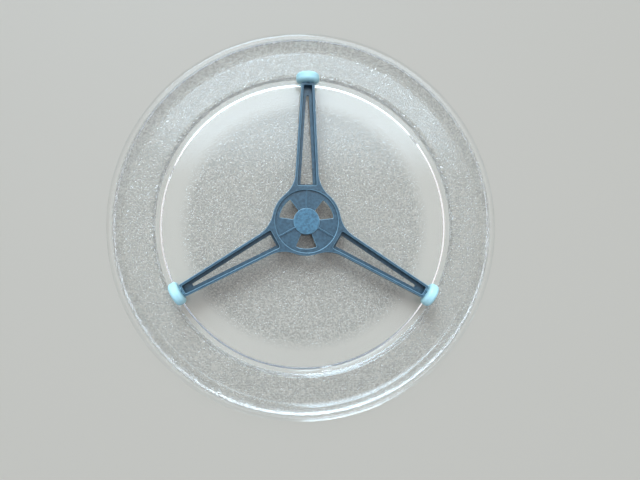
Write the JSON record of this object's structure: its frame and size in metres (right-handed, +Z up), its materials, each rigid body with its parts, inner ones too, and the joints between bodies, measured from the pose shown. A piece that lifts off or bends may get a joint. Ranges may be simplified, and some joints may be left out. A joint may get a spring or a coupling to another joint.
{
  "type": "microwave turntable plate",
  "caption": "Round clear pressed-glass microwave turntable plate with a stepped floor and flat lip, and its star-armed plastic roller guide lying on it on free-turning rollers.",
  "frame": {"origin": "on the plate's axis, on the surface that the foot ring stands on", "axes": "+Z up along the plate's axis, +Y towards the rear roller, +X to the right"},
  "size_m": [0.245, 0.245, 0.0207],
  "materials": {
    "glass": "clear pressed glass, stippled underneath",
    "guide_plastic": "slate blue-grey moulded plastic, satin",
    "roller_plastic": "white moulded plastic, satin"
  },
  "bodies": {
    "turntable": {"glass_plate": "glass", "roller_guide": "guide_plastic"},
    "rear_roller": {"rear_roller": "roller_plastic"},
    "left_roller": {"left_roller": "roller_plastic"},
    "right_roller": {"right_roller": "roller_plastic"}
  },
  "joints": [
    {"name": "rear_roller_spin", "type": "hinge", "parent": "turntable", "child": "rear_roller", "pos_m": [0.00111, 0.09241, 0.01337], "axis": [0.0122, 0.9999, 0], "continuous": true},
    {"name": "left_roller_spin", "type": "hinge", "parent": "turntable", "child": "left_roller", "pos_m": [-0.07905, -0.0426, 0.01337], "axis": [-0.8721, -0.4894, 0], "continuous": true},
    {"name": "right_roller_spin", "type": "hinge", "parent": "turntable", "child": "right_roller", "pos_m": [0.07795, -0.04452, 0.01337], "axis": [0.8599, -0.5105, 0], "continuous": true}
  ]
}
